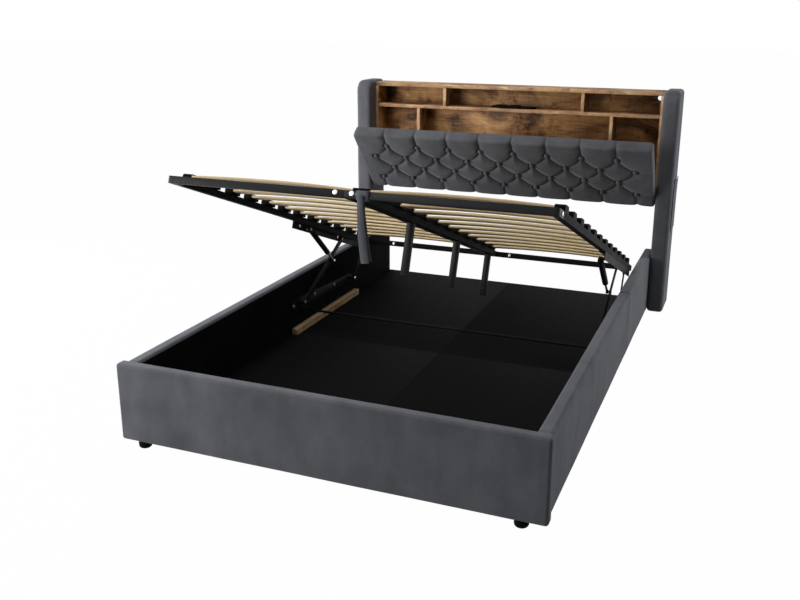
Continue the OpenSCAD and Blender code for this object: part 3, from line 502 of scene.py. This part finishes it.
def wing(node):
    """A padded headboard wing; its dips are slight on the side towards the bookcase."""
    lo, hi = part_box(node)
    reach_y, reach_z = lo.y + WING_CROWN, hi.z - WING_CROWN

    def warp(p, d):
        # The top front corner, seen from the side, has a much larger radius.
        a, b = reach_y - p.y, p.z - reach_z
        if a > 0 and b > 0:
            k = max(a, b) / math.hypot(a, b)
            p = Vector((p.x, reach_y - a * k, reach_z + b * k))
        outer = 1.0 if (p.x > 0) == (d.x > 0) or abs(d.x) < 0.5 else 0.15
        return p + d * (ripple(p, scale=4.5, depth=0.0025, seed=1.3) * outer)

    obj = soft_box(node + "_padding", lo, hi, [WING_EDGE] * 3, (0.012, 0.012, 0.02),
                   material=upholstery, warp=warp)
    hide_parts(node)
    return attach(obj, "bed_base")


def pocket(node):
    """A cloth pocket sewn to a wing's outer side: it stands off most at its open top."""
    lo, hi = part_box(node)
    side = 1 if lo.x > 0 else -1
    seam, tuck, inset, cloth, hem, hem_from = 0.0012, 0.0004, 0.001, 0.0014, 0.0007, 0.92
    low_gap, mouth_gap, mouth_dip, crease_depth = 0.0012, 0.0048, 0.004, 0.0006
    seam_x = lo.x + seam if side > 0 else hi.x - seam
    cols, rows = 24, 36
    verts, faces = [], []
    for layer in (0, 1):
        for j in range(rows + 1):
            for i in range(cols + 1):
                s, t = i / cols, j / rows
                y = lo.y + inset + (hi.y - lo.y - 2 * inset) * s
                z = lo.z + inset + (hi.z - lo.z - 2 * inset) * t
                middle = math.sin(math.pi * s)
                gap = (middle ** 0.7) * (low_gap + mouth_gap * t ** 1.5)
                crease = crease_depth * math.sin(38 * s + 5 * t) * middle * t
                thick = cloth + (hem if t > hem_from else 0.0)
                x = gap + crease + (thick if layer else -tuck)
                verts.append((seam_x + side * max(0.0, x), y, z - mouth_dip * middle * t ** 4))
    n = (cols + 1) * (rows + 1)
    for layer in (0, 1):
        for j in range(rows):
            for i in range(cols):
                p = layer * n + j * (cols + 1) + i
                faces.append((p, p + 1, p + cols + 2, p + cols + 1))
    border = ([i for i in range(cols)] + [j * (cols + 1) + cols for j in range(rows)]
              + [rows * (cols + 1) + i for i in range(cols, 0, -1)]
              + [j * (cols + 1) for j in range(rows, 0, -1)])
    for k in range(len(border)):
        a, b = border[k], border[(k + 1) % len(border)]
        faces.append((a, b, b + n, a + n))
    obj = make_object(node + "_cloth", verts, faces, upholstery)
    face_outwards(obj)
    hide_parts(node)
    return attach(obj, "bed_base")


# Tufted cushion

def button_rows():
    """The buttons' places on the cushion's face, row by row from the lower edge up."""
    rows = []
    for row in range(TUFT_ROWS):
        count = TUFT_COLS - row % 2
        u = TUFT_LOW + row * TUFT_Z
        rows.append([((i - (count - 1) / 2) * TUFT_X, u) for i in range(count)])
    return rows


BUTTON_ROWS = button_rows()
BUTTONS = [place for row in BUTTON_ROWS for place in row]


def crease_lines():
    """Creases as bowed lines on the cushion's face: two ends, and the two depths."""
    found = []

    def line(x0, u0, x1, u1, depths, sag=0.0, steps=1):
        """From the upper end to the lower one; sag bows it towards the cushion's lower edge."""
        length = math.hypot(x1 - x0, u1 - u0)
        nx, nu = (u1 - u0) / length, -(x1 - x0) / length
        if nu > 0:
            nx, nu = -nx, -nu
        points = []
        for i in range(steps + 1):
            t = i / steps
            b = 4 * sag * t * (1 - t)
            points.append((x0 + (x1 - x0) * t + nx * b, u0 + (u1 - u0) * t + nu * b))
        for a, b in zip(points, points[1:]):
            found.append((*a, *b, *depths))

    for lower, upper in zip(BUTTON_ROWS, BUTTON_ROWS[1:]):
        for x, u in lower:
            for x2, u2 in upper:
                if abs(x2 - x) < 0.6 * TUFT_X:
                    line(x2, u2, x, u, DIAMOND, BOW, BOW_STEPS)
    for x, u in BUTTON_ROWS[-1]:
        line(x, FLAP_TOP + SEAM_PAST, x, u, TOP_SEAM)
    for x, u in BUTTON_ROWS[0]:
        line(x, u, x, FLAP_LOW - SEAM_PAST, LOW_SEAM)
    for row in BUTTON_ROWS[::2]:
        for (x, u), end in ((row[0], -FLAP_W / 2), (row[-1], FLAP_W / 2)):
            line(x, u, end, u, END_PLEAT)
    return found


def edge_roll(e, r):
    """Height of a quarter-round edge, from 0 at the edge to 1 at a distance of r."""
    t = np.clip(e / r, 0, 1)
    return np.sqrt(1 - (1 - t) ** 2)


def cushion_height(x, u):
    """Thickness of the pad over its backing board."""
    drop = np.zeros_like(x)
    for x0, u0, x1, u1, steep, wide in crease_lines():
        ax, au = x1 - x0, u1 - u0
        t = np.clip(((x - x0) * ax + (u - u0) * au) / (ax * ax + au * au), 0, 1)
        off_x, off_u = x - x0 - t * ax, u - u0 - t * au
        dist = np.sqrt(off_x ** 2 + off_u ** 2 + CREASE_BLUR ** 2) - CREASE_BLUR
        dip = steep * (1 - edge_roll(dist, STEEP_REACH)) + wide * (1 - edge_roll(dist, WIDE_REACH))
        drop = np.maximum(drop, dip)
    full = PAD_T - drop
    for i, (bx, bu) in enumerate(BUTTONS):
        rho = np.hypot(x - bx, u - bu)
        phi = np.arctan2(u - bu, x - bx)
        rise = np.clip((rho - PIT_R) / PIT_WALL, 0, 1)
        full = np.minimum(full, SEAT + (PAD_T - SEAT) * rise * rise * (3 - 2 * rise))
        # Short pleats that run out from the button, different at each one.
        pleat = np.sin(phi * 9 + i * 1.7) * 0.0009 + np.sin(phi * 5 + i * 2.9) * 0.0007
        fade = np.exp(-((rho / PLEAT_REACH) ** 2)) * (1 - np.exp(-((rho / PLEAT_START) ** 2)))
        full = full + pleat * fade
    # Fine gathers between the end buttons and the cushion's ends.
    for row in BUTTON_ROWS[::2]:
        bu = row[0][1]
        reach = np.clip((np.abs(x) - row[-1][0] + 0.01) / 0.02, 0, 1)
        gather = np.sin(x * 620) * np.exp(-(((u - bu) / GATHER_REACH) ** 2))
        full = full + GATHER_DEPTH * gather * reach
    ends = END_RIM * (1 - edge_roll(FLAP_W / 2 - np.abs(x), END_RIM))
    edges = RIM * (1 - edge_roll(np.minimum(u - FLAP_LOW, FLAP_TOP - u), RIM))
    return full - np.maximum(ends, edges)


def notch(x):
    """How far a seam draws the top and the bottom edge in."""
    found = []
    for (depth, width, _), row in ((TOP_NOTCH, BUTTON_ROWS[-1]), (LOW_NOTCH, BUTTON_ROWS[0])):
        found.append(depth * sum(np.exp(-(((x - bx) / width) ** 2)) for bx, _ in row))
    return found


def cushion():
    """Tufted pad; its cloth wraps the board's edges to a hem at the back."""
    def axis(lo, hi, n, r, seg=6):
        ends = [r * (1 - math.cos(math.radians(90) * i / seg)) for i in range(1, seg)]
        inner = list(np.linspace(lo + r, hi - r, n))
        first, last = [lo + e for e in ends], [hi - e for e in reversed(ends)]
        return np.array([lo] + first + inner + last + [hi])

    gx, gu = np.meshgrid(axis(-FLAP_W / 2, FLAP_W / 2, GRID_X, END_RIM),
                         axis(FLAP_LOW, FLAP_TOP, GRID_U, RIM))
    nu, nx = gx.shape
    slow = np.array([noise.noise(Vector((x * 6, u * 6, 1.7)))
                     for x, u in zip(gx.ravel(), gu.ravel())])
    h = cushion_height(gx, gu) + SWELL * slow.reshape(gx.shape)

    # Square grid to rounded corners, and the edges drawn in at the seams.
    ax = np.maximum(0, np.abs(gx) - FLAP_W / 2 + CORNER)
    au = np.maximum(0, np.abs(gu - FLAP_MID) - FLAP_HALF + CORNER)
    k = np.where((ax > 0) & (au > 0), np.maximum(ax, au) / np.maximum(np.hypot(ax, au), 1e-9), 1.0)
    ax, au = ax * k, au * k
    px = np.sign(gx) * (np.minimum(np.abs(gx), FLAP_W / 2 - CORNER) + ax)
    from_mid = np.minimum(np.abs(gu - FLAP_MID), FLAP_HALF - CORNER) + au
    pu = FLAP_MID + np.sign(gu - FLAP_MID) * from_mid
    top_pull, low_pull = notch(gx)
    top_felt, low_felt = TOP_NOTCH[2], LOW_NOTCH[2]
    near_top = np.clip((gu - FLAP_TOP + top_felt) / top_felt, 0, 1)
    near_low = np.clip((FLAP_LOW + low_felt - gu) / low_felt, 0, 1)
    pu = pu - top_pull * near_top + low_pull * near_low
    verts = [on_flap((x, -PAD_BACK - t, u)) for x, t, u in zip(px.ravel(), h.ravel(), pu.ravel())]
    faces = []
    for j in range(nu - 1):
        for i in range(nx - 1):
            p = j * nx + i
            faces.append((p, p + 1, p + nx + 1, p + nx))

    # The wrap, ring by ring: how far back from the front edge (1 is the board's front, 2 its
    # back), how far in, and what is left of a seam's notch.
    stages = [(0.22, -0.0008, 1.0), (0.5, -0.0014, 1.0), (0.8, -0.0008, 0.9),
              (1.0, 0.0, 0.6), (1.85, 0.0, 0.1), (2.0, 0.0015, 0.0),
              (2.0, 0.014, 0.0), (1.93, 0.0145, 0.0), (1.0, 0.015, 0.0)]
    border = ([i for i in range(nx)] + [j * nx + nx - 1 for j in range(1, nu)]
              + [(nu - 1) * nx + i for i in range(nx - 2, -1, -1)]
              + [j * nx for j in range(nu - 2, 0, -1)])
    fx, fu, fh = px.ravel(), pu.ravel(), h.ravel()
    nax, nau = (np.sign(gx) * ax / CORNER).ravel(), (np.sign(gu - FLAP_MID) * au / CORNER).ravel()
    top_at, low_at = notch(fx)
    thinnest, hinge_from, hinge_rise, edge_zone = 0.06, 0.002, 0.008, 0.02
    last = border
    for back, inset, left in stages:
        start = len(verts)
        for p in border:
            # The cloth lies closer to the board below the hinges' line.
            behind = WRAP_T * min(1.0, max(thinnest, (fu[p] - hinge_from) / hinge_rise))
            v = -PAD_BACK - fh[p] * (1 - back) if back <= 1 else -PAD_BACK + behind * (back - 1)
            pull = 0.0
            if fu[p] > FLAP_TOP - edge_zone:
                pull = top_at[p] * (1 - left)
            elif fu[p] < FLAP_LOW + edge_zone:
                pull = -low_at[p] * (1 - left)
            verts.append(on_flap((fx[p] - nax[p] * inset, v, fu[p] - nau[p] * inset + pull)))
        fresh = [start + i for i in range(len(border))]
        for i in range(len(border)):
            i2 = (i + 1) % len(border)
            faces.append((last[i2], last[i], fresh[i], fresh[i2]))
        last = fresh
    faces.append(tuple(reversed(last)))
    obj = make_object("tufted_cushion", verts, faces, cushion_cloth)
    obj.data.polygons[len(obj.data.polygons) - 1].use_smooth = False
    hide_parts("flap_cushion")
    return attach(obj, "cushion_flap")


def dome(centre, out, right, radius, height, skirt, seg=24, rings=7):
    """A covered button: a domed face that turns under to a short skirt."""
    up = out.cross(right)
    verts, faces = [centre + out * height], []
    under = math.radians(100)
    for j in range(1, rings + 1):
        a = under * j / rings
        r, z = radius * math.sin(min(a, math.radians(90))), height * math.cos(a)
        if j == rings:
            z = -skirt
        for i in range(seg):
            t = 2 * math.pi * i / seg
            verts.append(centre + out * z + (right * math.cos(t) + up * math.sin(t)) * r)
    for i in range(seg):
        faces.append((0, 1 + i, 1 + (i + 1) % seg))
    for j in range(rings - 1):
        for i in range(seg):
            p, q = 1 + j * seg + i, 1 + j * seg + (i + 1) % seg
            faces.append((p, p + seg, q + seg, q))
    return verts, faces


def buttons():
    """All covered buttons, as one piece."""
    verts, faces = [], []
    out = (on_flap((0, -1, 0)) - on_flap((0, 0, 0))).normalized()
    for x, u in BUTTONS:
        centre = on_flap((x, -PAD_BACK - SEAT - COVER_UP, u))
        v, f = dome(centre, out, Vector((1, 0, 0)), COVER_R, COVER_H, COVER_SKIRT)
        faces += [tuple(i + len(verts) for i in face) for face in f]
        verts += v
    obj = make_object("covered_buttons", verts, faces, cushion_cloth)
    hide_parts("cushion_buttons")
    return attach(obj, "cushion_flap")


footboard()
for name in ("left_rail_front", "left_rail_rear", "right_rail_front", "right_rail_rear"):
    rail(name)
for name in ("left_wing", "right_wing"):
    wing(name)
for name in ("left_pocket", "right_pocket"):
    pocket(name)
cushion()
buttons()


# Finishes of the CAD nodes that stay

def finish(names, material, bevel=0.0, segments=2, sharp=35):
    """Gives nodes their material, smooth shading between sharp edges, and broken edges."""
    for name in names:
        obj = nodes[name]
        obj.data.materials.clear()
        obj.data.materials.append(material)
        weld = obj.modifiers.new("weld", "WELD")
        weld.merge_threshold = 0.00002
        if bevel:
            mod = obj.modifiers.new("bevel", "BEVEL")
            mod.width, mod.segments, mod.limit_method = bevel, segments, "ANGLE"
            mod.angle_limit = math.radians(sharp)
            mod.harden_normals = True
            mod.use_clamp_overlap = True
        smooth_by_angle(obj, sharp)


def repaint(name, material, test):
    """Gives some faces of a node another material."""
    obj = nodes[name]
    obj.data.materials.append(material)
    slot = len(obj.data.materials) - 1
    for poly in obj.data.polygons:
        if test(poly):
            poly.material_index = slot


def on_front_edge(name):
    """Tests whether a face is part of a board's front edge."""
    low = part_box(name)[0].y
    return lambda poly: poly.normal.y < -0.9 and poly.center.y < low + 0.0005


def near_axis(places, reach, widest=math.inf):
    """Tests a face by its distance from one of some cross axes and from the bed's centre line."""
    def test(poly):
        c = poly.center
        return abs(c.x) <= widest and any(math.hypot(c.y - p.y, c.z - p.z) <= reach for p in places)
    return test


flat_boards = ["top_board", "middle_shelf", "bottom_board"]
upright_boards = ["left_side_board", "right_side_board", "upper_dividers", "lower_dividers"]
for names, board, edge in ((flat_boards, board_x, edge_x), (upright_boards, board_z, edge_z)):
    finish(names, board, bevel=0.0008)
    for name in names:
        repaint(name, edge, on_front_edge(name))
finish(["back_panel"], board_x)
finish(["flap_panel"], plywood, bevel=0.001)
finish(["left_cleat", "right_cleat"], pine, bevel=0.0015)
finish(["left_slats", "right_slats"], birch, bevel=0.0015)
finish(["floor_board_front_left", "floor_board_front_right",
        "floor_board_rear_left", "floor_board_rear_right"], black_floor, bevel=0.0008)
finish(["front_bar_left", "front_bar_right", "centre_legs"], black_steel, bevel=0.002, segments=3)
# Painted shade: these tubes take the darker copy of the black steel.
finish(["left_side_bar", "right_side_bar", "rear_bar", "spine"],
       black_tube, bevel=0.002, segments=3)
# Painted shade: the mechanism takes a darker copy of the black steel.
finish(["left_base_plate", "right_base_plate", "tie_bar", "left_lift_bracket", "right_lift_bracket",
        "left_front_arm", "right_front_arm", "left_rear_link", "right_rear_link",
        "left_strut_cylinder", "right_strut_cylinder", "cleat_bolts"], black_arms, bevel=0.0006)
finish(["base_bolts"], dull_steel, bevel=0.0005)
finish(["frame_bolts", "hinge_fixed_leaves", "hinge_moving_leaves"], bright_steel, bevel=0.0005)
finish(["left_strut_rod", "right_strut_rod"], chrome)
finish(["left_slat_holders", "centre_slat_holders", "right_slat_holders", "socket_strip"],
       black_plastic, bevel=0.002, segments=3)
finish(["front_glides", "rear_glides"], black_plastic)

# Turned collars and studs of the mechanism, as faces near their axes.
eyes = [on_platform((0, ARM_S, EYE_H)), on_platform((0, STRUT_S, EYE_H))]
for side in ("left", "right"):
    rod = side + "_strut_rod"
    low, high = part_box(rod)
    stud = Vector((0, high.y - STUD_IN, low.z + STUD_IN))
    repaint(rod, bright_steel, near_axis([stud], STUD_R))
    repaint(side + "_lift_bracket", bronze, near_axis(eyes, COLLAR_R, COLLAR_X))
    plate = side + "_base_plate"
    repaint(plate, bronze, near_axis([in_bed((0, *ARM_FOOT))], FOOT_COLLAR_R, COLLAR_X))
    repaint(plate, bright_steel, near_axis([in_bed((0, *LINK_FOOT))], FOOT_COLLAR_R, COLLAR_X))


# Pull strap

def ribbon(name, path, widths, normals, thick, material, closed):
    """A flat strap along a path, with round edges: path points, half widths and face normals."""
    profile = [(-1, -0.6), (-0.96, -1), (0.96, -1), (1, -0.6),
               (1, 0.6), (0.96, 1), (-0.96, 1), (-1, 0.6)]
    verts, faces = [], []
    n, m = len(path), len(profile)
    for i, p in enumerate(path):
        a = path[(i - 1) % n] if closed else path[max(0, i - 1)]
        b = path[(i + 1) % n] if closed else path[min(n - 1, i + 1)]
        along = (b - a).normalized()
        nor = (normals[i] - along * normals[i].dot(along)).normalized()
        side = along.cross(nor)
        for x, y in profile:
            verts.append(p + side * (x * widths[i]) + nor * (y * thick / 2))
    for i in range(n if closed else n - 1):
        for j in range(m):
            a, b = i * m + j, i * m + (j + 1) % m
            c, d = ((i + 1) % n) * m + (j + 1) % m, ((i + 1) % n) * m + j
            faces.append((a, b, c, d))
    if not closed:
        faces.append(tuple(reversed(range(m))))
        faces.append(tuple((n - 1) * m + j for j in range(m)))
    return make_object(name, verts, faces, material)


def strap_turn(side):
    """One of two turns round the front tube, side by side, that lean together at the front."""
    path, nor, n = [], [], 28
    half, from_middle, pinch, half_width = TUBE / 2 + 0.0018, 0.0125, 0.002, 0.0105
    for i in range(n):
        a = 2 * math.pi * i / n
        c, s = math.cos(a), math.sin(a)
        # A fifth-power oval follows the square tube with round corners.
        k = (abs(c) ** 5 + abs(s) ** 5) ** (-1 / 5)
        lean = 0.5 + 0.5 * math.cos(a - math.pi)
        x = STRAP_X + side * (from_middle - pinch * lean)
        path.append(on_platform((x, TUBE / 2 + c * k * half, TUBE / 2 + s * k * half)))
        nor.append(on_platform((x, c, s)) - on_platform((x, 0, 0)))
    return path, [half_width] * n, nor, webbing, True


def strap_cross():
    """The cross loop over the front of the two turns."""
    path, n, half_width = [], 15, 0.0085
    reach, off_tube, bulge, above, sag = 0.020, 0.0042, 0.0045, 0.006, 0.002
    for i in range(n):
        a = math.pi * (i / (n - 1))
        path.append(on_platform((STRAP_X - reach * math.cos(a), -off_tube - bulge * math.sin(a),
                                 TUBE / 2 + above - sag * math.sin(a))))
    out = on_platform((0, -1, 0)) - on_platform((0, 0, 0))
    return path, [half_width] * n, [out] * n, webbing, False


def strap_tail(layer):
    """One layer of the hanging tail; the two part in the lower half."""
    path, nor, wid, n = [], [], [], 37
    half_width, flare, start = 0.0098, 0.0032, 0.016
    for i in range(n):
        t = i / (n - 1)
        turn = math.radians(4 + 20 * math.sin(math.pi * t * 0.9) * t)
        x = STRAP_X - 0.003 + 0.015 * t ** 1.6 + layer * (0.003 + 0.0045 * t)
        apart = 0.0036 + 0.007 * max(0, t - 0.55)
        y = FRONT_Y - 0.0065 - 0.004 * math.sin(math.pi * t) + layer * apart
        z = FRONT_Z + start - (TAIL_LEN - 0.004 * layer) * t
        path.append(in_bed((x, y, z)))
        nor.append(Vector((math.sin(turn), -math.cos(turn), 0)))
        wid.append(half_width + flare * min(1, max(0, (t - 0.1) / 0.5)))
    # The rear layer takes the darker webbing: painted shade.
    return path, wid, nor, webbing_back if layer else webbing, False


def strap():
    """A doubled strap hitched round the front tube."""
    parts = [strap_turn(-1), strap_turn(1), strap_cross(), strap_tail(0), strap_tail(1)]
    made = []
    for k, (path, wid, nor, cloth, closed) in enumerate(parts):
        made.append(ribbon("strap_piece_%d" % k, path, wid, nor, STRAP_T, cloth, closed))
    bpy.ops.object.select_all(action="DESELECT")
    for obj in made:
        obj.select_set(True)
    bpy.context.view_layer.objects.active = made[0]
    bpy.ops.object.join()
    obj = made[0]
    obj.name = "pull_strap_cloth"
    obj.data.name = "pull_strap_cloth"
    face_outwards(obj)
    smooth_by_angle(obj, 50)
    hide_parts("pull_strap")
    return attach(obj, "slat_platform")


strap()
